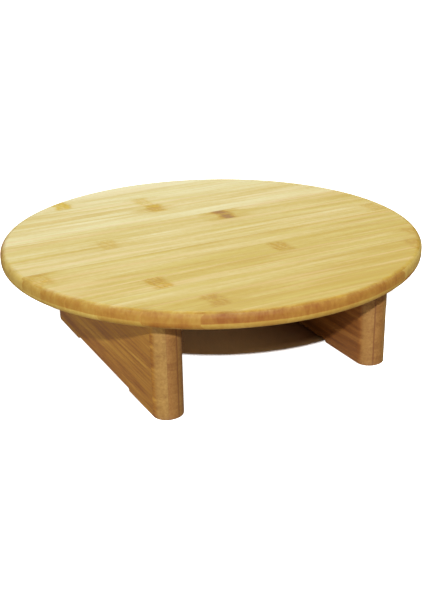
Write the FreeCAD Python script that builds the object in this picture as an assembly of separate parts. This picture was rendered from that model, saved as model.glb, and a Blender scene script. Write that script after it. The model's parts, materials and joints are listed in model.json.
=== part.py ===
import FreeCAD, Part

import math
import os

# Bamboo turntable display stand: a round board that turns on a flat ball bearing,
# carried by a cross board between two upright legs.
#
# Millimetres. The origin is on the floor, on the axis that the disc turns about.
# +Z is up, X runs across the legs and Y runs along them.

# ---- driving dimensions ----

HEIGHT = 84.0
DISC_RADIUS = 150.0
DISC_THICKNESS = 12.0
DISC_UPPER_ROUNDING = 4.0
DISC_LOWER_ROUNDING = 5.0

STAND_WIDTH = 179.0         # over the outer faces of both legs
LEG_LENGTH = 199.0
LEG_THICKNESS = 21.0
LEG_END_RADIUS = 10.0       # rounding of each leg's upright end corners, in plan
LEG_EDGE_ROUNDING = 1.0
RUNNING_GAP = 2.0           # between the legs' top edges and the turning disc
RELIEF_LENGTH = 100.0       # middle of a leg's underside, cut clear of the floor
RELIEF_DEPTH = 2.5
RELIEF_CORNER_RADIUS = 1.5

CROSS_WIDTH = 120.0
CROSS_THICKNESS = 12.0
CROSS_EDGE_ROUNDING = 1.5

DOWEL_RADIUS = 3.0
DOWEL_CHAMFER = 0.8
DOWEL_IN_LEG = 13.0
DOWEL_IN_CROSS = 17.0
DOWEL_END_ROOM = 0.5        # glue room past each end of a dowel
DOWEL_SPACING = 45.0
DOWELS_PER_LEG = 3

BEARING_HEIGHT = 8.0
PLATE_SIDE = 101.6
PLATE_CORNER_RADIUS = 8.0
SHEET = 1.2                 # thickness of the pressed steel sheet
PLATE_RISE = 1.4            # how far the middle of a plate is pressed towards the other plate
HUB_RADIUS = 17.0
RACE_RADIUS = 33.0
PLATFORM_RADIUS = 40.0      # outer edge of the raised middle
FLANGE_INNER_RADIUS = 42.5  # where the pressing has come back down to the flat flange
BALL_RADIUS = 2.38
BALL_COUNT = 40
GROOVE_CLEARANCE = 0.07
SCREW_HOLE_OFFSET = 43.0    # each corner hole from the centre lines of the plate

EYELET_CLEARANCE = 0.08
EYELET_WALL = 1.0
EYELET_FLANGE_RADIUS = 20.0
EYELET_PLAY = 0.05          # under the upper rolled lip, so that the upper plate turns
EYELET_LIP_ROUNDING = 0.45

SCREW_RADIUS = 1.75
SCREW_LENGTH = 9.0
SCREW_TIP = 2.5
SCREW_HEAD_RADIUS = 3.5
SCREW_HEAD_HEIGHT = 2.3
SCREW_HEAD_EDGE = 0.9       # height of the head's straight rim, below its dome
SCREW_DOME_POINT = (2.7, 1.9)   # radius and height of a point halfway up the dome
RECESS_WIDTH = 0.9
RECESS_SPAN = 3.8
RECESS_DEPTH = 1.3
PLATE_HOLE_RADIUS = 2.1

ACCESS_HOLE_RADIUS = 6.0    # lets a screwdriver reach the upper plate's screws, one at a time
ACCESS_HOLE_ANGLE = 20.0

# ---- derived levels and positions ----

DISC_BOTTOM = HEIGHT - DISC_THICKNESS
LEG_TOP = DISC_BOTTOM - RUNNING_GAP
CROSS_TOP = DISC_BOTTOM - BEARING_HEIGHT
CROSS_BOTTOM = CROSS_TOP - CROSS_THICKNESS
BEARING_MIDDLE = CROSS_TOP + BEARING_HEIGHT / 2
LEG_INNER = STAND_WIDTH / 2 - LEG_THICKNESS
LEG_CENTRE = STAND_WIDTH / 2 - LEG_THICKNESS / 2
SCREW_CIRCLE = SCREW_HOLE_OFFSET * math.sqrt(2)
SEAM_OVERLAP = 1.0          # lets the round and square parts of a pressed plate fuse soundly
SIDES = (("left", -1), ("right", 1))

UP = FreeCAD.Vector(0, 0, 1)
ALONG_X = FreeCAD.Vector(1, 0, 0)
PARALLEL = 0.9              # cosine above which an edge counts as running along an axis


# ---- helpers ----

def save(shape, name):
    shape.exportStep(os.path.join("parts", name + ".step"))


def cylinder(radius, x, y, low, high):
    return Part.makeCylinder(radius, high - low, FreeCAD.Vector(x, y, low))


def line(a, b):
    return Part.LineSegment(FreeCAD.Vector(a[0], 0, a[1]), FreeCAD.Vector(b[0], 0, b[1])).toShape()


def arc(a, middle, b):
    points = [FreeCAD.Vector(p[0], 0, p[1]) for p in (a, middle, b)]
    return Part.Arc(*points).toShape()


def quarter_arc(a, b, centre):
    """Quarter circle from a to b about centre, in the (radius, height) plane."""
    radius = math.dist(a, centre)
    half = (a[0] + b[0] - 2 * centre[0], a[1] + b[1] - 2 * centre[1])
    scale = radius / math.hypot(*half)
    return arc(a, (centre[0] + half[0] * scale, centre[1] + half[1] * scale), b)


def revolve(edges):
    face = Part.Face(Part.Wire(edges))
    return face.revolve(FreeCAD.Vector(0, 0, 0), UP, 360)


def runs_along(edge, axis):
    return abs(edge.tangentAt(edge.FirstParameter).dot(axis)) > PARALLEL


def rounded_rectangle(size_x, size_y, radius, low, height):
    """Upright prism with rounded corners, centred on the Z axis."""
    box = Part.makeBox(size_x, size_y, height, FreeCAD.Vector(-size_x / 2, -size_y / 2, low))
    upright = [e for e in box.Edges if runs_along(e, UP)]
    return box.makeFillet(radius, upright)


def edges_at(shape, level):
    return [e for e in shape.Edges if all(abs(v.Z - level) < 1e-6 for v in e.Vertexes)]


def corner_points():
    """Centres of a plate's four screw holes."""
    offset = SCREW_HOLE_OFFSET
    return [(offset, offset), (-offset, offset), (-offset, -offset), (offset, -offset)]


def dowel_rows():
    first = -DOWEL_SPACING * (DOWELS_PER_LEG - 1) / 2
    return [first + DOWEL_SPACING * i for i in range(DOWELS_PER_LEG)]


# ---- wooden pieces ----

def top_disc():
    low, high, r = DISC_BOTTOM, HEIGHT, DISC_RADIUS
    q, p = DISC_LOWER_ROUNDING, DISC_UPPER_ROUNDING
    disc = revolve([
        line((0, low), (r - q, low)),
        quarter_arc((r - q, low), (r, low + q), (r - q, low + q)),
        line((r, low + q), (r, high - p)),
        quarter_arc((r, high - p), (r - p, high), (r - p, high - p)),
        line((r - p, high), (0, high)),
        line((0, high), (0, low)),
    ])
    pilot_depth = SCREW_LENGTH - SHEET
    for x, y in corner_points():
        disc = disc.cut(cylinder(SCREW_RADIUS, x, y, low, low + pilot_depth))
    return disc


def leg(side):
    board = rounded_rectangle(LEG_THICKNESS, LEG_LENGTH, LEG_END_RADIUS, 0, LEG_TOP)
    rims = edges_at(board, 0) + edges_at(board, LEG_TOP)
    board = board.makeFillet(LEG_EDGE_ROUNDING, rims)

    relief = Part.makeBox(LEG_THICKNESS, RELIEF_LENGTH, 2 * RELIEF_DEPTH,
                          FreeCAD.Vector(-LEG_THICKNESS / 2, -RELIEF_LENGTH / 2, -RELIEF_DEPTH))
    relief = relief.makeFillet(RELIEF_CORNER_RADIUS, [
        e for e in edges_at(relief, RELIEF_DEPTH) if runs_along(e, ALONG_X)])
    board = board.cut(relief)

    board.translate(FreeCAD.Vector(side * LEG_CENTRE, 0, 0))
    depth = DOWEL_IN_LEG + DOWEL_END_ROOM
    for y in dowel_rows():
        board = board.cut(dowel_hole(side, y, LEG_INNER, LEG_INNER + depth))
    return board


def dowel_hole(side, y, near, far):
    start = FreeCAD.Vector(side * near, y, (CROSS_TOP + CROSS_BOTTOM) / 2)
    return Part.makeCylinder(DOWEL_RADIUS, far - near, start, ALONG_X * side)


def cross_board():
    board = Part.makeBox(2 * LEG_INNER, CROSS_WIDTH, CROSS_THICKNESS,
                         FreeCAD.Vector(-LEG_INNER, -CROSS_WIDTH / 2, CROSS_BOTTOM))
    long_edges = [e for e in board.Edges if runs_along(e, ALONG_X)]
    board = board.makeFillet(CROSS_EDGE_ROUNDING, long_edges)

    depth = DOWEL_IN_CROSS + DOWEL_END_ROOM
    for _, side in SIDES:
        for y in dowel_rows():
            board = board.cut(dowel_hole(side, y, LEG_INNER - depth, LEG_INNER))

    pilot_depth = SCREW_LENGTH - SHEET
    for x, y in corner_points():
        board = board.cut(cylinder(SCREW_RADIUS, x, y, CROSS_TOP - pilot_depth, CROSS_TOP))

    angle = math.radians(ACCESS_HOLE_ANGLE)
    access = cylinder(ACCESS_HOLE_RADIUS, SCREW_CIRCLE * math.cos(angle), SCREW_CIRCLE * math.sin(angle),
                      CROSS_BOTTOM, CROSS_TOP)
    return board.cut(access)


def dowel(side, y):
    length = DOWEL_IN_LEG + DOWEL_IN_CROSS
    start = FreeCAD.Vector(LEG_INNER - DOWEL_IN_CROSS, y, (CROSS_TOP + CROSS_BOTTOM) / 2)
    peg = Part.makeCylinder(DOWEL_RADIUS, length, start, ALONG_X)
    rims = [e for e in peg.Edges if isinstance(e.Curve, Part.Circle)]
    peg = peg.makeChamfer(DOWEL_CHAMFER, rims)
    if side < 0:
        peg.rotate(FreeCAD.Vector(0, y, 0), UP, 180)
    return peg


# ---- bearing ----

def lower_plate():
    """Square plate whose round middle is pressed up, with a groove for the balls in its crest."""
    flat_low, flat_high = CROSS_TOP, CROSS_TOP + SHEET
    crest_low, crest_high = flat_low + PLATE_RISE, flat_high + PLATE_RISE
    inner_arc = BALL_RADIUS + GROOVE_CLEARANCE
    outer_arc = inner_arc + SHEET
    inner_half = math.sqrt(inner_arc ** 2 - (BEARING_MIDDLE - crest_high) ** 2)
    outer_half = math.sqrt(outer_arc ** 2 - (BEARING_MIDDLE - crest_low) ** 2)
    seam = FLANGE_INNER_RADIUS + SEAM_OVERLAP

    under = [
        (HUB_RADIUS, crest_low),
        (RACE_RADIUS - outer_half, crest_low),
        (RACE_RADIUS, BEARING_MIDDLE - outer_arc),
        (RACE_RADIUS + outer_half, crest_low),
        (PLATFORM_RADIUS + SHEET / 2, crest_low),
        (FLANGE_INNER_RADIUS + SHEET / 2, flat_low),
        (seam + SHEET, flat_low),
    ]
    over = [
        (seam + SHEET, flat_high),
        (FLANGE_INNER_RADIUS, flat_high),
        (PLATFORM_RADIUS, crest_high),
        (RACE_RADIUS + inner_half, crest_high),
        (RACE_RADIUS, BEARING_MIDDLE - inner_arc),
        (RACE_RADIUS - inner_half, crest_high),
        (HUB_RADIUS, crest_high),
    ]
    middle = revolve([
        line(under[0], under[1]),
        arc(under[1], under[2], under[3]),
        line(under[3], under[4]),
        line(under[4], under[5]),
        line(under[5], under[6]),
        line(under[6], over[0]),
        line(over[0], over[1]),
        line(over[1], over[2]),
        line(over[2], over[3]),
        arc(over[3], over[4], over[5]),
        line(over[5], over[6]),
        line(over[6], under[0]),
    ])
    flange = rounded_rectangle(PLATE_SIDE, PLATE_SIDE, PLATE_CORNER_RADIUS, flat_low, SHEET)
    flange = flange.cut(cylinder(seam, 0, 0, flat_low, flat_high))
    plate = flange.fuse(middle).removeSplitter()
    for x, y in corner_points():
        plate = plate.cut(cylinder(PLATE_HOLE_RADIUS, x, y, flat_low, flat_high))
    return plate


def upper_plate():
    """The same pressing as the lower plate, turned over."""
    plate = lower_plate()
    plate.rotate(FreeCAD.Vector(0, 0, BEARING_MIDDLE), ALONG_X, 180)
    return plate


def balls():
    ring = []
    for i in range(BALL_COUNT):
        angle = 2 * math.pi * i / BALL_COUNT
        centre = FreeCAD.Vector(RACE_RADIUS * math.cos(angle), RACE_RADIUS * math.sin(angle), BEARING_MIDDLE)
        ring.append(Part.makeSphere(BALL_RADIUS, centre))
    return Part.makeCompound(ring)


def eyelet():
    """Hollow rivet. Its lower lip is clamped under the lower plate, its upper lip runs over the upper one."""
    half_grip = BEARING_HEIGHT / 2 - PLATE_RISE
    outer = HUB_RADIUS - EYELET_CLEARANCE
    inner = outer - EYELET_WALL
    low_grip = BEARING_MIDDLE - half_grip
    high_grip = BEARING_MIDDLE + half_grip + EYELET_PLAY
    low, high = low_grip - EYELET_WALL, high_grip + EYELET_WALL
    q = EYELET_LIP_ROUNDING
    edge = EYELET_FLANGE_RADIUS
    return revolve([
        quarter_arc((inner, low + q), (inner + q, low), (inner + q, low + q)),
        line((inner + q, low), (edge - q, low)),
        quarter_arc((edge - q, low), (edge, low + q), (edge - q, low + q)),
        line((edge, low + q), (edge, low_grip)),
        line((edge, low_grip), (outer, low_grip)),
        line((outer, low_grip), (outer, high_grip)),
        line((outer, high_grip), (edge, high_grip)),
        line((edge, high_grip), (edge, high - q)),
        quarter_arc((edge, high - q), (edge - q, high), (edge - q, high - q)),
        line((edge - q, high), (inner + q, high)),
        quarter_arc((inner + q, high), (inner, high - q), (inner + q, high - q)),
        line((inner, high - q), (inner, low + q)),
    ])


# ---- screws ----

def screw():
    """Pan head wood screw: underside of the head at z = 0, point upwards."""
    edge = -SCREW_HEAD_EDGE
    dome_radius, dome_height = SCREW_DOME_POINT
    body = revolve([
        arc((0, -SCREW_HEAD_HEIGHT), (dome_radius, -dome_height), (SCREW_HEAD_RADIUS, edge)),
        line((SCREW_HEAD_RADIUS, edge), (SCREW_HEAD_RADIUS, 0)),
        line((SCREW_HEAD_RADIUS, 0), (SCREW_RADIUS, 0)),
        line((SCREW_RADIUS, 0), (SCREW_RADIUS, SCREW_LENGTH - SCREW_TIP)),
        line((SCREW_RADIUS, SCREW_LENGTH - SCREW_TIP), (0, SCREW_LENGTH)),
        line((0, SCREW_LENGTH), (0, -SCREW_HEAD_HEIGHT)),
    ])
    for size_x, size_y in ((RECESS_SPAN, RECESS_WIDTH), (RECESS_WIDTH, RECESS_SPAN)):
        corner = FreeCAD.Vector(-size_x / 2, -size_y / 2, -SCREW_HEAD_HEIGHT)
        body = body.cut(Part.makeBox(size_x, size_y, RECESS_DEPTH, corner))
    return body


def placed_screw(x, y, seat, points_up):
    one = screw()
    if not points_up:
        one.rotate(FreeCAD.Vector(0, 0, 0), ALONG_X, 180)
    one.translate(FreeCAD.Vector(x, y, seat))
    return one


# ---- write every piece ----

def main():
    os.makedirs("parts", exist_ok=True)

    save(top_disc(), "top_disc")
    save(cross_board(), "cross_board")
    for name, side in SIDES:
        save(leg(side), "leg_" + name)
        for number, y in enumerate(dowel_rows(), 1):
            save(dowel(side, y), f"dowel_{name}_{number}")

    save(lower_plate(), "bearing_lower_plate")
    save(upper_plate(), "bearing_upper_plate")
    save(balls(), "bearing_balls")
    save(eyelet(), "bearing_eyelet")

    for number, (x, y) in enumerate(corner_points(), 1):
        save(placed_screw(x, y, CROSS_TOP + SHEET, False), f"lower_plate_screw_{number}")
        save(placed_screw(x, y, DISC_BOTTOM - SHEET, True), f"upper_plate_screw_{number}")


main()
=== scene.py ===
"""Looks of the turntable display stand: a round bamboo board on a steel bearing and two bamboo legs."""
import json
import math
from collections import namedtuple

import bmesh
import bpy
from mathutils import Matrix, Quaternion, Vector


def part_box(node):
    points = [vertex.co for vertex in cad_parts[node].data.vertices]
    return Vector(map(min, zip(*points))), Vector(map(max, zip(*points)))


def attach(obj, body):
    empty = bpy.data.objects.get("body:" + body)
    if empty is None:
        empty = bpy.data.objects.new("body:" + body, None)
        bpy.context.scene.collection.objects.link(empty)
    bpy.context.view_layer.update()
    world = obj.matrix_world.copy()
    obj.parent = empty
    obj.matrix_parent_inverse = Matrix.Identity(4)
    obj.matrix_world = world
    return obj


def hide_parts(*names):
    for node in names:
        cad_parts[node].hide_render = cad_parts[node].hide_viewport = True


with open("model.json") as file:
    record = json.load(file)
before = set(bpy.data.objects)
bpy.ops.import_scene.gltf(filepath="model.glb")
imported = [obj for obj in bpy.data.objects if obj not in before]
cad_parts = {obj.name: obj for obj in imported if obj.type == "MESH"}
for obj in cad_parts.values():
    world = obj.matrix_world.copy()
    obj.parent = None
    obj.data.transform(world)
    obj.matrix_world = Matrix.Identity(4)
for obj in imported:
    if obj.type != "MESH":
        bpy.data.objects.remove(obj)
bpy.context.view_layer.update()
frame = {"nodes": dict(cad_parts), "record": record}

MM = 0.001


def middle(low, high):
    """Middle of the box with these two corners."""
    return (Vector(low) + Vector(high)) / 2


# Round board: strips glued edge to edge along X. The strips of the thin upper layer are not in line with
# those of the thicker core and lower layer. A seam is the place along Y where the strip numbered 0 starts.
BOARD_LOW, BOARD_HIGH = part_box("top_disc")
BOARD_RADIUS = min(BOARD_HIGH.x, BOARD_HIGH.y, -BOARD_LOW.x, -BOARD_LOW.y)
UPPER_ROUNDING = 4 * MM
LOWER_ROUNDING = 5 * MM
UPPER_LAYER_LOW = BOARD_HIGH.z - 1 * MM
LOWER_LAYER_HIGH = BOARD_LOW.z + 5 * MM
STRIP_WIDTH = 21.35 * MM
UPPER_SEAM = 1.1 * MM
LOWER_SEAM = UPPER_SEAM - 3.4 * MM
RIM_SEGMENTS = 288
ROUNDING_STEPS = 12

# Legs: three layers side by side along X, each of narrow strips along Y.
LEG_INNER_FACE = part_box("leg_right")[0].x
LEG_OUTER_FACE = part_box("leg_right")[1].x
LEG_THICKNESS = LEG_OUTER_FACE - LEG_INNER_FACE
LEG_LAYER = LEG_THICKNESS / 3
LEG_STRIP = 5.5 * MM
LEG_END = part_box("leg_right")[1].y

# Cross board: three layers, the middle one with its strips half a strip further along.
CROSS_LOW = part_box("cross_board")[0].z
CROSS_LAYER = (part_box("cross_board")[1].z - CROSS_LOW) / 3
CROSS_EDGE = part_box("cross_board")[1].y
OPENINGS = {opening["name"]: opening["box_m"] for opening in frame["record"]["physics"]["openings"]}
ACCESS_HOLE = middle(*OPENINGS["screwdriver_access"])
ACCESS_RADIUS = 6 * MM

# Bearing, screws and dowels.
RACE_RADIUS = 33 * MM
SCREW_PLACE = middle(*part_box("lower_plate_screw_1")).x
DOWEL_HEIGHT = middle(*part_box("dowel_left_1")).z
DOWEL_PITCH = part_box("dowel_left_3")[0].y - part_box("dowel_left_2")[0].y
DOWEL_FLUTES = 12

# Studio. A light's place is its azimuth and elevation in degrees, as in the function towards.
WHITE = (1.0, 1.0, 1.0, 1.0)
FLOOR_HALF_SIZE = 40.0
FLOOR_SEEN = (0.97, 0.97, 0.965, 1.0)
# Colour of the painted shadow on the floor, deepest beside the right leg.
FLOOR_PAINTED_SHADOW = (0.20, 0.08, 0.06, 1.0)
FLOOR_BOUNCE = (0.36, 0.25, 0.16, 1.0)
FILL_LIGHT = (0.15, 0.12, 0.085, 1.0)
REFLECTED_LIGHT = (0.35, 0.35, 0.35, 1.0)
FLOOR_KEY = (-30.5, 32)

# Strips of the board's upper layer, from the front to the back: how light each is, which is partly the
# strip's own tone and partly a painted sheen that makes the back strips paler; how much lighter it gets per
# 100 mm towards +X, which is painted shade of light falling off away from the left; how dark it is along its
# front and back edges, and its growth rings, each a place along the grain in millimetres and a strength.
Strip = namedtuple("Strip", "tone lean front_edge back_edge rings")
UPPER_STRIPS = [
    Strip(-0.30, -0.05, 0.00, 0.25, []),
    Strip(-0.34, -0.08, 0.20, 0.05, [(-57, 1.3)]),
    Strip(-0.17, -0.12, 0.15, 0.00, [(111, 1.2)]),
    Strip(-0.14, -0.06, 0.00, 0.15, [(-75, 1.6), (127, 1.2)]),
    Strip(-0.21, -0.10, 0.00, 0.10, [(28, 1.5)]),
    Strip(-0.14, -0.08, 0.10, 0.35, [(-138, 1.1)]),
    Strip(0.02, -0.06, 0.00, 0.00, [(138, 0.9)]),
    Strip(0.00, -0.10, 0.15, 0.00, [(-75, 0.8)]),
    Strip(-0.06, -0.14, 0.00, 0.00, [(29, 2.2)]),
    Strip(0.28, -0.10, 0.00, 0.00, []),
    Strip(0.14, -0.02, 0.00, 0.00, [(-10, 1.7)]),
    Strip(0.26, -0.03, 0.00, 0.00, [(-12, 0.8)]),
    Strip(0.38, 0.02, 0.00, 0.00, [(-72, 1.6)]),
    Strip(0.52, 0.00, 0.00, 0.00, []),
]
STRIPS_IN_FRONT = len(UPPER_STRIPS) // 2

# Stands in for the growth ring of a strip that has none.
NO_RING = (1000, 0.0)

# Halfway between the two growth rings of the one strip that has two.
BETWEEN_RINGS = 26 * MM

# The same strips in the core and the lower layer, seen at the rim: how light the core is at its -X and +X
# ends, and how light the lower layer is. Both are partly the bamboo's own tone and partly painted light: at
# the ends, and bounced up from the floor onto the lower rounding.
RimStrip = namedtuple("RimStrip", "core_left core_right lower")
RIM_STRIPS = [
    RimStrip(0.10, 0.38, 0.68),
    RimStrip(0.38, 0.85, 0.28),
    RimStrip(0.38, 0.85, 0.70),
    RimStrip(0.42, 0.85, 0.92),
    RimStrip(0.40, 0.70, 0.80),
    RimStrip(0.62, 0.60, 0.95),
    RimStrip(0.98, 0.70, 0.85),
    RimStrip(0.80, 0.50, 0.60),
    RimStrip(0.55, 0.70, 0.80),
    RimStrip(0.45, 0.40, 0.60),
    RimStrip(0.75, 0.60, 0.40),
    RimStrip(0.50, 0.80, 0.75),
    RimStrip(0.35, 0.50, 0.60),
    RimStrip(0.25, 0.40, 0.70),
]

# Added to the number of a strip below the upper layer, so that its grain isn't that of the strip above it.
LOWER_NUMBERS = 40


# Shader nodes, wrapped so that a material reads like arithmetic.

def srgb(red, green, blue):
    """A colour given as 0-255 display values, as Blender's linear numbers."""
    channels = [c / 255 for c in (red, green, blue)]
    return [c / 12.92 if c <= 0.04045 else ((c + 0.055) / 1.055) ** 2.4 for c in channels] + [1.0]


class Field:
    """A number, colour or vector that varies over a surface: one output of a shader node."""

    def __init__(self, surface, socket):
        self.surface = surface
        self.socket = socket

    def math(self, operation, *others):
        return self.surface.add("Math", [self, *others], operation=operation)

    def __add__(self, other):
        return self.math("ADD", other)

    __radd__ = __add__

    def __sub__(self, other):
        return self.math("SUBTRACT", other)

    def __rsub__(self, other):
        return self.surface.add("Math", [other, self], operation="SUBTRACT")

    def __mul__(self, other):
        return self.math("MULTIPLY", other)

    __rmul__ = __mul__

    def __truediv__(self, other):
        return self.math("DIVIDE", other)

    def __abs__(self):
        return self.math("ABSOLUTE")

    def floor(self):
        return self.math("FLOOR")

    def largest(self, other):
        return self.math("MAXIMUM", other)

    def fade(self, start, end, low=0.0, high=1.0):
        """Goes smoothly from low to high as this number goes from start to end."""
        return self.surface.add("MapRange", [self, start, end, low, high], interpolation_type="SMOOTHSTEP")


class Surface:
    """A procedural material, built one shader node at a time."""

    def __init__(self, name, **shader_values):
        self.material = bpy.data.materials.new(name)
        self.material.use_nodes = True
        self.tree = self.material.node_tree
        self.shader = self.tree.nodes["Principled BSDF"]
        for socket, value in shader_values.items():
            self.set(socket.replace("_", " "), value)
        self.x, self.y, self.z = self.split(self.add("TexCoord", output="Object"))

    def put(self, socket, value):
        if isinstance(value, Field):
            self.tree.links.new(value.socket, socket)
        else:
            socket.default_value = value

    def set(self, socket, value):
        self.put(self.shader.inputs[socket], value)

    def add(self, kind, inputs=(), output=0, **settings):
        node = self.tree.nodes.new("ShaderNode" + kind)
        for key, value in settings.items():
            setattr(node, key, value)
        for key, value in inputs.items() if isinstance(inputs, dict) else enumerate(inputs):
            self.put(node.inputs[key], value)
        return Field(self, node.outputs[output])

    def split(self, vector):
        node = self.tree.nodes.new("ShaderNodeSeparateXYZ")
        self.put(node.inputs[0], vector)
        return [Field(self, output) for output in node.outputs]

    def point(self, x, y, z):
        return self.add("CombineXYZ", [x, y, z])

    def distance(self, x, y):
        """How far (x, y) is from (0, 0)."""
        return self.add("VectorMath", [self.point(x, y, 0.0)], output=1, operation="LENGTH")

    def noise(self, point, detail=2.0):
        """Smooth noise, about 0.3 to 0.7, with one wave per unit of point."""
        return self.add("TexNoise", {"Vector": point, "Scale": 1.0, "Detail": detail})

    def random(self, point):
        """A random number for each whole-number point."""
        return self.add("TexWhiteNoise", {"Vector": point})

    def face_value(self, name):
        """The three numbers that a mesh's faces hold under this name."""
        return self.split(self.add("Attribute", output="Vector", attribute_name=name))

    def mix(self, share, first, second, blend="MIX"):
        return self.add("Mix", {0: share, 6: first, 7: second}, output=2, data_type="RGBA", blend_type=blend)

    def ramp(self, value, *colours):
        """Goes through the colours, given as for srgb, in even steps as value goes from 0 to 1."""
        field = self.add("ValToRGB", [value])
        stops = field.socket.node.color_ramp
        for i, colour in enumerate(colours):
            stop = stops.elements[i] if i < 2 else stops.elements.new(1.0)
            stop.position = i / (len(colours) - 1)
            stop.color = srgb(*colour)
        return field

    def bump(self, height, depth):
        """Height is a field of 0 to 1, and depth what 1 stands for, in metres."""
        self.set("Normal", self.add("Bump", {"Strength": 1.0, "Distance": depth, "Height": height}))


# The board's mesh.

def board_outline():
    """(radius, height) of the round board's edge, from its underside to its top."""
    lower_centre = BOARD_LOW.z + LOWER_ROUNDING
    upper_centre = BOARD_HIGH.z - UPPER_ROUNDING
    points = []
    for rounding, centre, start in ((LOWER_ROUNDING, lower_centre, -90), (UPPER_ROUNDING, upper_centre, 0)):
        for step in range(ROUNDING_STEPS + 1):
            angle = math.radians(start + 90 * step / ROUNDING_STEPS)
            radius = BOARD_RADIUS - rounding + rounding * math.cos(angle)
            points.append((radius, centre + rounding * math.sin(angle)))
    return points


def revolved(outline):
    """The closed round shape with this outline."""
    shape = bmesh.new()
    angles = [2 * math.pi * i / RIM_SEGMENTS for i in range(RIM_SEGMENTS)]
    rings = []
    for radius, z in outline:
        rings.append([shape.verts.new((radius * math.cos(a), radius * math.sin(a), z)) for a in angles])
    for lower, upper in zip(rings, rings[1:]):
        for i in range(RIM_SEGMENTS):
            j = (i + 1) % RIM_SEGMENTS
            shape.faces.new((lower[i], lower[j], upper[j], upper[i]))
    shape.faces.new(reversed(rings[0]))
    shape.faces.new(rings[-1])
    return shape


def is_upper(face):
    """Whether a face of the board belongs to its thin upper layer."""
    return face.calc_center_median().z > UPPER_LAYER_LOW


def cut(shape, faces, place, direction):
    """Divides these faces along a plane, and keeps both sides."""
    edges = dict.fromkeys(edge for face in faces for edge in face.edges)
    verts = dict.fromkeys(vert for face in faces for vert in face.verts)
    geometry = [*verts, *edges, *faces]
    bmesh.ops.bisect_plane(shape, geom=geometry, dist=0.0001 * MM, plane_co=place, plane_no=direction)


def cut_into_strips(shape):
    """Divides the board's faces where its upper layer ends, at the seams, and between two growth rings."""
    cut(shape, shape.faces[:], (0, 0, UPPER_LAYER_LOW), (0, 0, 1))
    for number in range(-STRIPS_IN_FRONT, STRIPS_IN_FRONT + 1):
        for upper, seam in ((True, UPPER_SEAM), (False, LOWER_SEAM)):
            faces = [face for face in shape.faces if is_upper(face) == upper]
            cut(shape, faces, (0, seam + number * STRIP_WIDTH, 0), (0, 1, 0))
    cut(shape, [face for face in shape.faces if is_upper(face)], (BETWEEN_RINGS, 0, 0), (1, 0, 0))


def lower_strip(number):
    """A strip of the underside, with one growth ring. Its number sets its tone and where the ring is."""
    return Strip(0.08 * math.sin(5 * number), 0.0, 0.1, 0.1, [(110 * math.sin(7 * number + 1), 0.9)])


def describe_strips(shape):
    """Gives each face the numbers of its own strip, which the material reads."""
    layers = shape.faces.layers.float_vector
    strip, edges, ring, rim = [layers.new(name) for name in ("strip", "edges", "ring", "rim")]
    for face in shape.faces:
        centre = face.calc_center_median()
        upper = is_upper(face)
        seam = UPPER_SEAM if upper else LOWER_SEAM
        number = math.floor((centre.y - seam) / STRIP_WIDTH)
        row = min(max(number + STRIPS_IN_FRONT, 0), len(UPPER_STRIPS) - 1)
        look = UPPER_STRIPS[row] if upper else lower_strip(number)
        seed = number if upper else number + LOWER_NUMBERS
        place, strength = min(look.rings, key=lambda mark: abs(mark[0] * MM - centre.x), default=NO_RING)
        face[strip] = (seed, look.tone, seam + (number + 0.5) * STRIP_WIDTH)
        face[edges] = (look.front_edge, look.back_edge, look.lean)
        face[ring] = (place * MM, strength, 0.0)
        face[rim] = RIM_STRIPS[row]


def board_normal(place):
    """Direction that the board's surface faces at this place, so that cut faces shade as one smooth board."""
    height = min(max(place.z, BOARD_LOW.z + LOWER_ROUNDING), BOARD_HIGH.z - UPPER_ROUNDING)
    rounding = LOWER_ROUNDING if place.z <= height else UPPER_ROUNDING
    flat = place.xy * min(1.0, (BOARD_RADIUS - rounding) / max(place.xy.length, MM))
    return (place - Vector((*flat, height))).normalized()


def round_board():
    shape = revolved(board_outline())
    cut_into_strips(shape)
    describe_strips(shape)
    mesh = bpy.data.meshes.new("top_board")
    shape.to_mesh(mesh)
    shape.free()
    mesh.shade_smooth()
    mesh.normals_split_custom_set_from_vertices([board_normal(vertex.co) for vertex in mesh.vertices])
    board = bpy.data.objects.new("top_board", mesh)
    bpy.context.scene.collection.objects.link(board)
    return board


# Materials. The factors on x, y and z in a noise's point are its waves per metre.

def grain(surface, along, across, depth, seed):
    """Broad streaks, finer lines and single fibres of bamboo, each from 0 to 1.

    Along, across and depth are a strip's own axes in metres.
    """
    start = along + seed * 3.7
    sway = surface.noise(surface.point(start * 9, across * 14, depth * 14), detail=1.0) - 0.5
    side = across + sway * 1.6 * MM
    streaks = surface.noise(surface.point(start * 8, side * 150, depth * 150), detail=1.5)
    lines = surface.noise(surface.point(start * 18, side * 520, depth * 520), detail=1.5)
    fibres = surface.noise(surface.point(start * 45, side * 1900, depth * 1900), detail=1.0)
    return streaks, lines, fibres


GrowthRing = namedtuple("GrowthRing", "band flecks knot wings")


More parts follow.
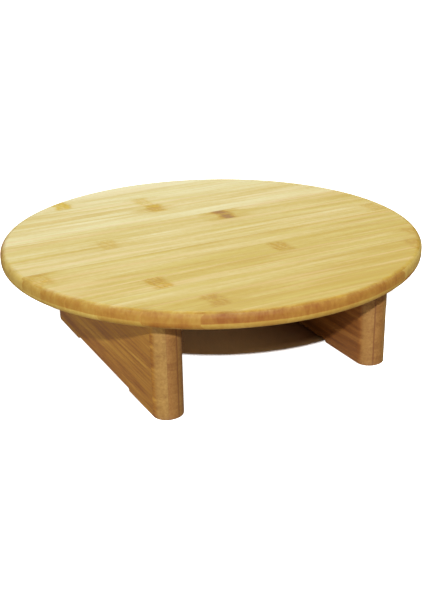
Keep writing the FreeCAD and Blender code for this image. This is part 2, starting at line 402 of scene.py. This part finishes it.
def growth_ring(surface, number, from_seam, mottle, streaks):
    """A mottled golden band right across the strip, with flecks, and a brown knot if it is a strong ring.

    Wings are the dark fibres that run out of it along the grain.
    """
    x, y, z = surface.x, surface.y, surface.z
    place, strength, _ = surface.face_value("ring")
    wander = surface.noise(surface.point(number * 3.1, y * 130, z * 130), detail=1.0) - 0.5
    from_ring = abs(x - place + wander * 6 * MM)
    ragged = from_seam.fade(0.0, 3 * MM, 0.35, 1.0)
    patch = from_ring.fade(9 * MM, 3.5 * MM) * ragged * strength
    strokes = surface.noise(surface.point(x * 430 + y * 130, y * 120, number))
    band = patch * mottle.fade(0.30, 0.60, 0.7, 1.0) * strokes.fade(0.36, 0.60, 0.4, 1.0)
    flecks = surface.noise(surface.point(x * 520, y * 640, number), detail=1.0).fade(0.50, 0.62) * patch
    clumps = surface.noise(surface.point(x * 80, y * 120, number), detail=1.0).fade(0.40, 0.56, 0.35, 1.0)
    knot = from_ring.fade(6.5 * MM, 1.5 * MM) * strength.fade(1.8, 2.2) * clumps
    wings = from_ring.fade(24 * MM, 5 * MM) * streaks.fade(0.50, 0.62) * strength
    return GrowthRing(band, flecks, knot, wings)


def board_rim(surface):
    """How much of the rim's own colour shows, and that colour.

    The darker core shows below the upper layer, with upright strokes and blotches, then a paler lower layer.
    The core's tone at the ends and the lower layer's paleness are partly the bamboo's own and partly painted
    light.
    """
    x, y, z = surface.x, surface.y, surface.z
    core_left, core_right, lower_tone = surface.face_value("rim")
    blotches = surface.noise(surface.point(x * 75, y * 75, z * 75)) - 0.5
    strokes = surface.noise(surface.point(x * 520, y * 520, z * 220)) - 0.5
    from_edge = BOARD_RADIUS - surface.distance(x, y) + blotches * 1.6 * MM + strokes * 0.8 * MM
    share = from_edge.fade(4.9 * MM, 0.2 * MM)
    # Painted light: the core's tone towards each end and the lower layer's paleness are partly painted light,
    # partly own tone.
    core_tone = core_left + (core_right - core_left) * x.fade(-120 * MM, 140 * MM)
    in_core = (z + blotches * 1.2 * MM).fade(LOWER_LAYER_HIGH - 0.4 * MM, LOWER_LAYER_HIGH + 0.4 * MM)
    light = lower_tone + (core_tone - lower_tone) * in_core + blotches * 0.7 + strokes * 0.42
    return share, surface.ramp(light, (116, 66, 4), (135, 97, 29), (147, 119, 48), (165, 144, 73))


def top_finish():
    """Pale bamboo strips, each with its tone, edges and growth rings, and darker layers at the rim; the tones
    carry some painted sheen and painted shade.
    """
    surface = Surface("bamboo_top_oiled", IOR=1.5)
    x, y, z = surface.x, surface.y, surface.z
    number, tone, strip_middle = surface.face_value("strip")
    front_edge, back_edge, lean = surface.face_value("edges")
    across = y - strip_middle
    from_seam = STRIP_WIDTH / 2 - abs(across)
    streaks, lines, fibres = grain(surface, x, y, z, number)
    mottle = surface.noise(surface.point(x * 230, y * 260, number))
    ring = growth_ring(surface, number, from_seam, mottle, streaks)

    # Each strip is darker along one or both edges, and more in some places than in others.
    patchy = surface.noise(surface.point(x * 14 + number * 7.7, across * 60, 0.0), detail=1.0)
    front = (across + STRIP_WIDTH / 2).fade(5.5 * MM, 1 * MM) * front_edge
    back = (STRIP_WIDTH / 2 - across).fade(5.5 * MM, 1 * MM) * back_edge
    edge_shade = (front + back) * patchy.fade(0.35, 0.60, 0.5, 1.0)

    fine = (streaks - 0.5) * 1.05 + (lines - 0.5) * 0.7 + (fibres - 0.5) * 0.5 + (mottle - 0.5) * 0.3
    # The tone holds painted sheen, paler towards the back, and the slope along x is painted shade.
    light = 0.44 + tone + lean * x / (100 * MM) + fine - edge_shade - ring.wings * 0.3
    colour = surface.ramp(
        light, (181, 153, 48), (189, 167, 80), (198, 180, 109), (206, 194, 136), (214, 208, 161)
    )
    hue = surface.noise(surface.point(x * 7 + number * 2.3, y * 210, z * 210), detail=1.0)
    colour = surface.mix(hue.fade(0.52, 0.72) * 0.35, colour, srgb(216, 188, 138))
    colour = surface.mix(hue.fade(0.48, 0.30) * 0.35, colour, srgb(194, 180, 86))

    rim, rim_colour = board_rim(surface)
    colour = surface.mix(rim, colour, rim_colour)
    colour = surface.mix(ring.band * 0.78, colour, (0.85, 0.69, 0.02, 1.0), blend="MULTIPLY")
    colour = surface.mix(ring.flecks * 0.20, colour, srgb(150, 104, 20))
    colour = surface.mix(ring.knot * 0.85, colour, srgb(136, 92, 10))

    seam_strength = surface.noise(surface.point(x * 12, number * 5.3, 0.0), detail=1.0).fade(0.4, 0.65)
    seam = from_seam.fade(0.5 * MM, 0.1 * MM) * seam_strength
    colour = surface.mix(seam * 0.35, colour, srgb(170, 130, 60))

    surface.set("Base Color", colour)
    surface.set("Roughness", 0.40 + (lines - 0.5) * 0.25 + rim * 0.35 + ring.band * 0.05)
    surface.bump(fibres * 0.5 + lines * 0.4 - seam * 0.6 + ring.band * 0.3, 0.06 * MM)
    return surface.material


def leg_glue(surface, depth, layer, strip_place, end):
    """Dark glue lines: between the layers at the legs' ends, and between the strips on their faces."""
    inner_line = abs(depth - LEG_LAYER).fade(0.7 * MM, 0.2 * MM) * 0.75
    outer_line = abs(depth - 2 * LEG_LAYER).fade(0.5 * MM, 0.1 * MM) * 0.25
    half = LEG_THICKNESS / 2
    on_face = abs(depth - half).fade(half - 1.5 * MM, half - 0.5 * MM)
    along_strip = surface.noise(surface.point(surface.y * 16, strip_place.floor() * 4.1, layer), detail=1.0)
    from_joint = abs(strip_place - (strip_place + 0.5).floor()) * LEG_STRIP
    strip_line = from_joint.fade(0.7 * MM, 0.15 * MM) * along_strip.fade(0.35, 0.60) * 0.45
    return (inner_line + outer_line) * (1.0 - on_face) + strip_line * on_face * (1.0 - end)


def leg_finish():
    """Darker bamboo: streaked strips on the faces, and speckled end grain in three layers at the ends."""
    surface = Surface("bamboo_leg_oiled", IOR=1.5)
    x, y, z = surface.x, surface.y, surface.z
    depth = abs(x) - LEG_INNER_FACE
    layer = (depth / LEG_LAYER).floor()
    strip_place = z / LEG_STRIP + layer * 0.37 + 0.3
    seed = surface.random(surface.point(layer, strip_place.floor(), x.math("SIGN")))
    streaks, lines, fibres = grain(surface, y, z, x, seed)
    speckle = surface.noise(surface.point(x * 900, y * 300, z * 700)) - 0.5
    end = abs(y).fade(LEG_END - 8.5 * MM, LEG_END - 4 * MM)

    # The strips differ most on the outer faces, and less on the inner ones and at the ends.
    streaking = (streaks - 0.5) * 1.3 + (lines - 0.5) * 1.5 + (fibres - 0.5) * 0.6
    from_average = (seed - 0.5) * 0.55 * (1.0 - end * 0.6) + streaking * (1.0 - end * 0.7)
    light = 0.5 + from_average * depth.fade(1 * MM, 8 * MM, 0.62, 1.0) + speckle * end * 0.7
    outer_colour = surface.ramp(
        light, (90, 48, 8), (107, 68, 17), (122, 85, 25), (133, 99, 36), (144, 114, 50)
    )
    # The inner faces, which face each other under the board, are darker and redder: partly their own tone,
    # partly painted shade.
    painted_shade_inner_colour = surface.ramp(
        light, (72, 36, 8), (92, 52, 16), (108, 66, 25), (122, 82, 37), (135, 97, 50)
    )
    end_colour = surface.ramp(
        light, (91, 61, 25), (106, 76, 34), (119, 90, 43), (130, 103, 54), (141, 116, 68)
    )
    colour = surface.mix(depth.fade(2 * MM, 12 * MM), painted_shade_inner_colour, outer_colour)
    colour = surface.mix(end, colour, end_colour)

    # At the ends the middle layer is the reddest, and the inner one is redder than the outer one.
    middle_layer = abs(depth - 1.5 * LEG_LAYER).fade(0.5 * LEG_LAYER + 0.3 * MM, 0.5 * LEG_LAYER - 0.3 * MM)
    inner_layer = depth.fade(LEG_LAYER + 0.3 * MM, LEG_LAYER - 0.3 * MM)
    colour = surface.mix(middle_layer * end * 0.78, colour, (0.86, 0.68, 0.64, 1.0), blend="MULTIPLY")
    colour = surface.mix(inner_layer * end, colour, (0.92, 0.82, 0.79, 1.0), blend="MULTIPLY")

    glue = leg_glue(surface, depth, layer, strip_place, end)
    scuffed_foot = z.fade(5 * MM, 0.5 * MM) * speckle.fade(-0.08, 0.12)
    colour = surface.mix(glue, colour, srgb(84, 46, 18))
    colour = surface.mix(scuffed_foot * 0.5, colour, srgb(96, 66, 38))
    surface.set("Base Color", colour)
    surface.set("Roughness", 0.48 + (lines - 0.5) * 0.3 + scuffed_foot * 0.15 + end * 0.08)
    surface.bump(fibres * 0.5 + lines * 0.5 + speckle * end * 0.5 - glue * 0.6, 0.08 * MM)
    return surface.material


def cross_board_finish():
    """Plain sanded bamboo, darker where it was sawn and where the access hole was drilled, and rougher where
    it was sawn.
    """
    surface = Surface("bamboo_plain_sanded", IOR=1.5)
    x, y, z = surface.x, surface.y, surface.z
    layer = ((z - CROSS_LOW) / CROSS_LAYER).floor()
    place = y / STRIP_WIDTH + layer * 0.5
    strip = place.floor()
    seed = surface.random(surface.point(strip, layer, 2.0))
    streaks, lines, fibres = grain(surface, x, y, z, seed + strip)
    light = 0.5 + (seed - 0.5) * 0.5 + (streaks - 0.5) * 0.9 + (lines - 0.5) * 0.8 + (fibres - 0.5) * 0.6
    colour = surface.ramp(light, (150, 112, 60), (172, 136, 80), (190, 158, 104), (204, 178, 128))

    from_ring = abs(x - (seed - 0.5) * 120 * MM)
    mottle = surface.noise(surface.point(x * 240, y * 260, z * 240))
    ring = from_ring.fade(6 * MM, 2 * MM) * mottle.fade(0.35, 0.62)
    colour = surface.mix(ring * 0.6, colour, srgb(150, 102, 42))
    seam = (abs(place - (place + 0.5).floor()) * STRIP_WIDTH).fade(0.5 * MM, 0.1 * MM)
    colour = surface.mix(seam * 0.5, colour, srgb(116, 78, 36))

    from_hole = surface.distance(x - ACCESS_HOLE.x, y - ACCESS_HOLE.y)
    burnt = from_hole.fade(ACCESS_RADIUS + 1.2 * MM, ACCESS_RADIUS) * lines.fade(0.35, 0.65)
    sawn = abs(y).fade(CROSS_EDGE - 1.2 * MM, CROSS_EDGE)
    colour = surface.mix((burnt + sawn * 0.6) * 0.5, colour, srgb(110, 74, 36))
    surface.set("Base Color", colour)
    surface.set("Roughness", 0.55 + (lines - 0.5) * 0.3 + sawn * 0.15)
    surface.bump(fibres * 0.6 + lines * 0.4 - seam * 0.6 - ring * 0.2, 0.08 * MM)
    return surface.material


def dowel_finish():
    """Raw beech with short dark flecks, and flutes along each dowel, their grooves a little darker as painted
    shade.
    """
    surface = Surface("beech_dowel_raw", IOR=1.45)
    x, y, z = surface.x, surface.y, surface.z
    number = (y / DOWEL_PITCH + 0.5).floor()
    angle = (z - DOWEL_HEIGHT).math("ARCTAN2", y - number * DOWEL_PITCH)
    streaks, lines, fibres = grain(surface, x, y, z, number + x.math("SIGN") * 0.5)
    flecks = surface.noise(surface.point(x * 420, y * 1500, z * 1500 + number), detail=1.0).fade(0.60, 0.66)
    flute = (angle * DOWEL_FLUTES).math("SINE") * 0.5 + 0.5
    # Painted shade: the flutes' grooves are a little darker in colour.
    light = 0.5 + (streaks - 0.5) * 0.8 + (lines - 0.5) * 0.9 + (fibres - 0.5) * 0.5 + (flute - 0.5) * 0.15
    colour = surface.ramp(light, (176, 128, 84), (196, 152, 106), (214, 176, 132))
    colour = surface.mix(flecks * 0.6, colour, srgb(150, 98, 58))
    surface.set("Base Color", colour)
    surface.set("Roughness", 0.62 + (lines - 0.5) * 0.3)
    surface.bump(flute * 0.8 + fibres * 0.3 - flecks * 0.2, 0.25 * MM)
    return surface.material


def scratches(surface, seed):
    """Fine scratches in two directions, from 0 to 1."""
    x, y, z = surface.x, surface.y, surface.z
    one_way = surface.point((x + y) * 60, (x - y) * 2600 + seed, z * 2600)
    other_way = surface.point((x - y * 0.4) * 70 + seed, (y + x * 0.4) * 2300, z * 2300)
    first = surface.noise(one_way, detail=1.0)
    second = surface.noise(other_way, detail=1.0)
    return (first.fade(0.62, 0.70) + second.fade(0.63, 0.70)) * 0.5


def sheet_finish():
    """Zinc-plated pressed sheet: crystals, scratches, and a groove with grease and the balls' worn rings."""
    surface = Surface("zinc_sheet_pressed", Metallic=1.0)
    x, y, z = surface.x, surface.y, surface.z
    radius = surface.distance(x, y)
    place = surface.point(x * 330, y * 330, z * 330)
    crystals = surface.split(surface.add("TexVoronoi", {"Vector": place, "Scale": 1.0}, output="Color"))[0]
    cloud = surface.noise(surface.point(x * 60, y * 60, z * 60), detail=3.0)
    turned = surface.noise(surface.point(radius * 4200, z * 900, 0.0), detail=1.0)
    groove = abs(radius - RACE_RADIUS).fade(5 * MM, 2.5 * MM)
    grease = groove * cloud.fade(0.40, 0.62)
    marks = scratches(surface, 4.0)
    light = 0.5 + (crystals - 0.5) * 0.3 + (cloud - 0.5) * 1.0 + (turned - 0.5) * groove * 0.8 + marks * 0.3
    colour = surface.ramp(light, (168, 171, 176), (194, 197, 200), (214, 215, 214), (226, 224, 214))
    colour = surface.mix(cloud.fade(0.58, 0.70) * 0.35, colour, srgb(206, 190, 150))
    colour = surface.mix(grease * 0.65, colour, srgb(128, 96, 44))
    surface.set("Base Color", colour)
    surface.set("Roughness", 0.34 + (crystals - 0.5) * 0.14 + marks * 0.15 - grease * 0.16 - groove * 0.04)
    surface.bump(crystals * 0.15 + turned * groove * 0.3 - marks * 0.5 + grease * 0.4, 0.04 * MM)
    return surface.material


def ball_finish():
    """Polished steel balls with streaks of amber grease."""
    surface = Surface("ball_steel_greased", Metallic=1.0)
    x, y, z = surface.x, surface.y, surface.z
    smear = surface.noise(surface.point(x * 260, y * 260, z * 420)).fade(0.48, 0.62)
    marks = scratches(surface, 9.0)
    colour = surface.mix(smear * 0.55, srgb(206, 206, 208), srgb(170, 128, 58))
    colour = surface.mix(marks * 0.3, colour, srgb(150, 150, 154))
    surface.set("Base Color", colour)
    surface.set("Roughness", 0.10 + smear * 0.14 + marks * 0.10)
    surface.bump(smear * 0.5 - marks * 0.3, 0.02 * MM)
    return surface.material


def screw_finish():
    """Zinc-plated screws: turned rings on the head, worn round its edge, and painted shade that darkens the
    recess.
    """
    surface = Surface("zinc_screw_turned", Metallic=1.0)
    x, y, z = surface.x, surface.y, surface.z
    radius = surface.distance(abs(x) - SCREW_PLACE, abs(y) - SCREW_PLACE)
    turned = surface.noise(surface.point(radius * 5200, z * 1600, 0.0), detail=1.0)
    cloud = surface.noise(surface.point(x * 240, y * 240, z * 240))
    # Painted shade: the colour darkens in the cross recess.
    recess = radius.fade(1.6 * MM, 0.9 * MM)
    worn = radius.fade(2.6 * MM, 3.3 * MM)
    light = 0.45 + (turned - 0.5) * 0.9 + (cloud - 0.5) * 0.8 + worn * 0.25 - recess * 0.45
    colour = surface.ramp(light, (110, 108, 104), (188, 186, 178), (212, 208, 194), (230, 228, 220))
    colour = surface.mix(cloud.fade(0.55, 0.68) * 0.3, colour, srgb(190, 164, 108))
    surface.set("Base Color", colour)
    surface.set("Roughness", 0.30 + (turned - 0.5) * 0.25 + recess * 0.25 - worn * 0.06)
    surface.bump(turned * 0.4 + cloud * 0.2, 0.03 * MM)
    return surface.material


def paint(names, material):
    for name in names:
        node = frame["nodes"][name]
        node.data.materials.clear()
        node.data.materials.append(material)


# Floor, lights, surroundings and camera.

def towards(azimuth, elevation):
    """Unit vector towards a light. Azimuth is where it comes from, from the front towards the right."""
    a, e = math.radians(azimuth), math.radians(elevation)
    return Vector((math.sin(a) * math.cos(e), -math.cos(a) * math.cos(e), math.sin(e)))


def floor_finish():
    """White to the camera, and a little warm light back up onto the stand.

    The board's round shadow is painted darker towards the right leg, and a painted white glow, seen only by
    the camera, fades it out where it would reach beyond the board and makes it faint outside the legs.
    """
    surface = Surface("floor_white", Roughness=0.9, Specular_IOR_Level=0.0)
    x, y = surface.x, surface.y
    seen = surface.add("LightPath", output="Is Camera Ray")
    ray = towards(*FLOOR_KEY)
    shadow = -ray.xy * (BOARD_LOW.z / ray.z)
    from_shadow = surface.distance(x - shadow.x, y - shadow.y)
    # Painted shadow: the floor colour darkens inside the board's shadow, most towards the right leg.
    painted_shadow = from_shadow.fade(BOARD_RADIUS - 3 * MM, BOARD_RADIUS - 16 * MM)
    painted_shadow = painted_shadow * x.fade(-12 * MM, 92 * MM) * x.fade(LEG_OUTER_FACE, LEG_OUTER_FACE - 8 * MM)
    surface.set("Base Color", surface.mix(seen, FLOOR_BOUNCE, surface.mix(painted_shadow, FLOOR_SEEN, FLOOR_PAINTED_SHADOW)))
    # Painted light: the floor glows white to the camera beyond the board and outside the legs, which hides
    # the board's shadow there.
    painted_glow_beyond_board = surface.distance(x, y).fade(BOARD_RADIUS - 40 * MM, BOARD_RADIUS - 18 * MM)
    painted_glow_past_leg = abs(x).fade(LEG_OUTER_FACE, LEG_OUTER_FACE + 2 * MM)
    surface.set("Emission Color", WHITE)
    surface.set("Emission Strength", painted_glow_beyond_board.largest(painted_glow_past_leg * 0.75) * seen)
    return surface.material


def floor():
    shape = bmesh.new()
    bmesh.ops.create_grid(shape, x_segments=8, y_segments=8, size=FLOOR_HALF_SIZE)
    mesh = bpy.data.meshes.new("floor")
    shape.to_mesh(mesh)
    shape.free()
    mesh.materials.append(floor_finish())
    ground = bpy.data.objects.new("floor", mesh)
    ground.location.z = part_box("leg_left")[0].z
    bpy.context.scene.collection.objects.link(ground)
    return ground


def sun(name, place, energy, spread, colour):
    """A far light. Its spread, in degrees, is how wide it looks, and softens its shadows."""
    data = bpy.data.lights.new(name, "SUN")
    data.energy = energy
    data.angle = math.radians(spread)
    data.color = colour
    lamp = bpy.data.objects.new(name, data)
    lamp.rotation_mode = "QUATERNION"
    lamp.rotation_quaternion = towards(*place).to_track_quat("Z", "Y")
    bpy.context.scene.collection.objects.link(lamp)
    return lamp


def linked(name, objects, state):
    """A collection that tells a lamp which objects it works on, or leaves out."""
    group = bpy.data.collections.new(name)
    for thing in objects:
        group.objects.link(thing)
    for entry in group.collection_objects:
        entry.light_linking.link_state = state
    return group


def lights(ground):
    """A key light beside the camera, a low warm fill from the front and a soft light from behind.

    Two more lift the shadows on the legs, from the left and from behind on the right. The floor has a key
    light of its own, from almost the same side as the main one, and the legs cast no shadow in it.
    """
    legs = [frame["nodes"][name] for name in ("leg_left", "leg_right")]
    stand_only = linked("stand_only", [ground], "EXCLUDE")
    legs_only = linked("legs_only", legs, "INCLUDE")
    for lamp, receivers in (
        (sun("key_light", (-27, 33), 5.3, 1.5, (1.0, 1.0, 1.0)), stand_only),
        (sun("front_light", (-27, 1), 1.1, 15, (1.0, 0.9, 0.55)), stand_only),
        (sun("back_light", (150, 50), 1.0, 40, (1.0, 1.0, 1.0)), stand_only),
        (sun("left_light", (-85, 2), 3.0, 30, (1.0, 0.94, 0.68)), legs_only),
        (sun("right_light", (128, 10), 1.8, 40, (1.0, 0.94, 0.8)), legs_only),
    ):
        lamp.light_linking.receiver_collection = receivers
    floor_light = sun("floor_light", FLOOR_KEY, 7.0, 1.0, (1.0, 1.0, 1.0))
    floor_light.light_linking.receiver_collection = linked("floor_only", [ground], "INCLUDE")
    floor_light.light_linking.blocker_collection = linked("no_leg_shadow", legs, "EXCLUDE")


def surroundings():
    """White to the camera, grey in reflections, and a dim warm light on everything else."""
    world = bpy.data.worlds.new("studio")
    world.use_nodes = True
    nodes, links = world.node_tree.nodes, world.node_tree.links
    path = nodes.new("ShaderNodeLightPath")
    background = nodes["Background"].inputs["Color"]
    for ray, colour in (("Is Camera Ray", WHITE), ("Is Glossy Ray", REFLECTED_LIGHT)):
        choice = nodes.new("ShaderNodeMix")
        choice.data_type = "RGBA"
        links.new(path.outputs[ray], choice.inputs[0])
        choice.inputs[7].default_value = colour
        links.new(choice.outputs[2], background)
        background = choice.inputs[6]
    background.default_value = FILL_LIGHT
    bpy.context.scene.world = world
    bpy.context.scene.view_settings.view_transform = "Standard"


def camera():
    place = Vector((-0.2959, -0.5813, 0.2985))
    forward = Vector((0.4197, 0.8244, -0.3797))
    roll = -0.0205
    data = bpy.data.cameras.new("camera")
    data.lens = 56.75
    data.sensor_width = 36
    holder = bpy.data.objects.new("camera", data)
    holder.location = place
    holder.rotation_mode = "QUATERNION"
    holder.rotation_quaternion = (-forward).to_track_quat("Z", "Y") @ Quaternion((0, 0, 1), roll)
    bpy.context.scene.collection.objects.link(holder)
    bpy.context.scene.camera = holder


board = round_board()
board.data.materials.append(top_finish())
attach(board, "turning_top")
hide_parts("top_disc")
paint(["leg_left", "leg_right"], leg_finish())
paint(["cross_board"], cross_board_finish())
paint([name for name in frame["nodes"] if name.startswith("dowel")], dowel_finish())
paint(["bearing_lower_plate", "bearing_upper_plate", "bearing_eyelet"], sheet_finish())
paint(["bearing_balls"], ball_finish())
paint([name for name in frame["nodes"] if "_screw_" in name], screw_finish())
lights(floor())
surroundings()
camera()
